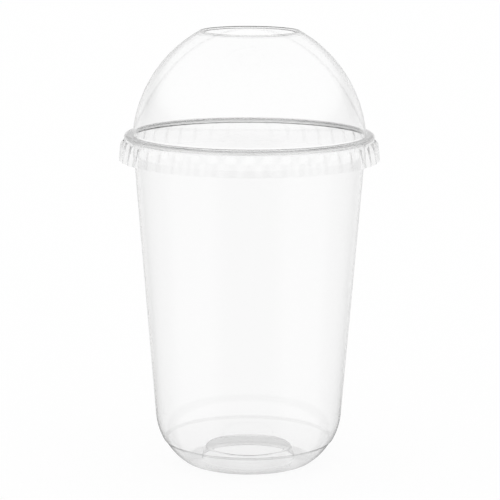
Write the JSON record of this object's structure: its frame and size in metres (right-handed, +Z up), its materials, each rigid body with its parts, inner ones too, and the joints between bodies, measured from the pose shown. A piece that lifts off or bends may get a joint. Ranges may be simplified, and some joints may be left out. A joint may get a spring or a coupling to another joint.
{
  "type": "plastic cup with lid",
  "caption": "Clear tapered plastic cup with a rolled rim and a round bottom, closed by a press-on dome lid with a straw hole and a fluted skirt.",
  "frame": {"origin": "on the table, at the middle of the cup's foot", "axes": "+Z up along the cup's axis; the cup is round, so X and Y are any two level directions, with a flute crest of the lid on each"},
  "size_m": [0.1, 0.1, 0.1676],
  "materials": {
    "cup_clear": "clear, gloss",
    "lid_clear": "clear, gloss"
  },
  "bodies": {
    "cup": {"cup": "cup_clear"},
    "lid": {"dome_lid": "lid_clear"}
  },
  "joints": [
    {"name": "lid_lift", "type": "slide", "parent": "cup", "child": "lid", "axis": [0, 0, 1], "range_m": [0, 0.08]}
  ]
}
